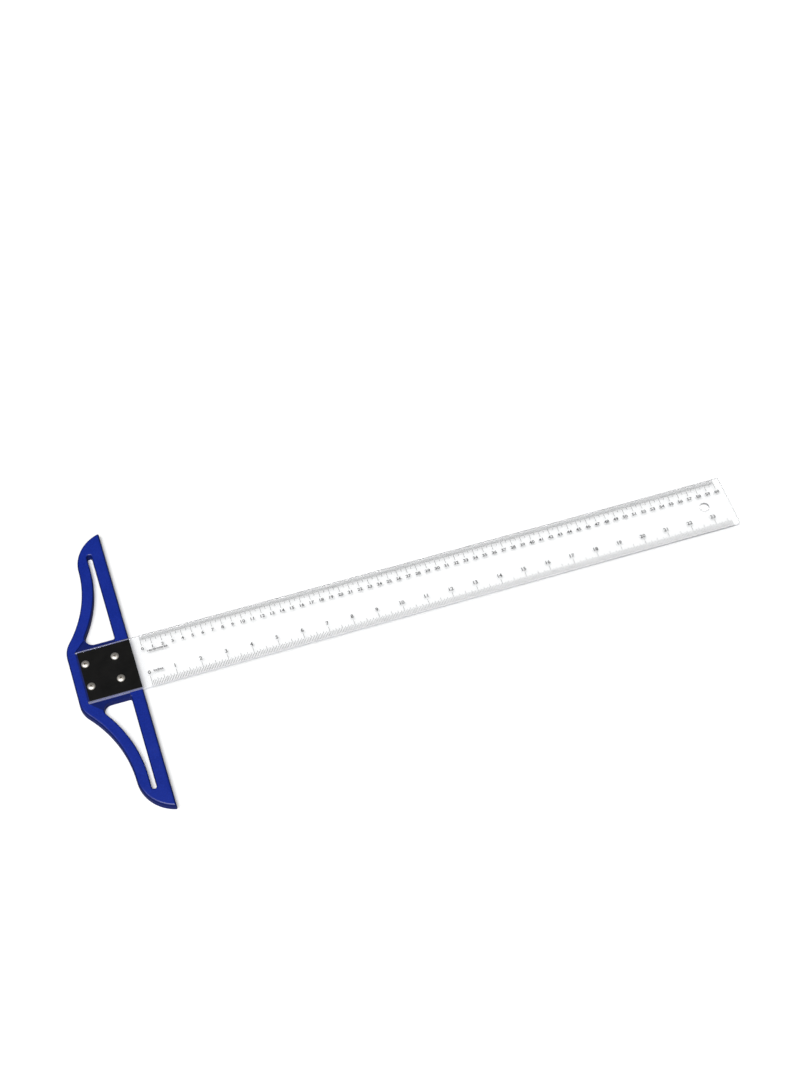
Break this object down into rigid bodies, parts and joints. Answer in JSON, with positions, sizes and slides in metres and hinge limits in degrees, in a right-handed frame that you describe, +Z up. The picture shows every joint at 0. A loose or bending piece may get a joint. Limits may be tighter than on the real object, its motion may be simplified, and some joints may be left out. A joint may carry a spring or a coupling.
{
  "type": "t-square",
  "caption": "Drawing T-square: moulded plastic head with two open loop handles, clear blade with cm and inch scales, clamped by a square plate and pan-head screws.",
  "frame": {"origin": "where the head's working face meets the plane of the blade's underside, on the blade's centreline", "axes": "+X along the blade to its far end, +Y to the edge with the centimetre scale, +Z up, away from the board"},
  "size_m": [0.6785, 0.3146, 0.0116],
  "materials": {
    "blue_plastic": "satin moulded",
    "clear_acrylic": "clear, polished",
    "black_plate": "matte",
    "plated_steel": "nickel plated",
    "grey_ink": "screen-printed ink"
  },
  "bodies": {
    "root": {"head": "blue_plastic", "blade": "clear_acrylic", "clamp_plate": "black_plate", "screw_heel_inch": "plated_steel", "screw_heel_cm": "plated_steel", "screw_face_inch": "plated_steel", "screw_face_cm": "plated_steel", "nut_heel_inch": "plated_steel", "nut_heel_cm": "plated_steel", "nut_face_inch": "plated_steel", "nut_face_cm": "plated_steel", "cm_marks": "grey_ink", "inch_marks": "grey_ink"}
  },
  "joints": []
}
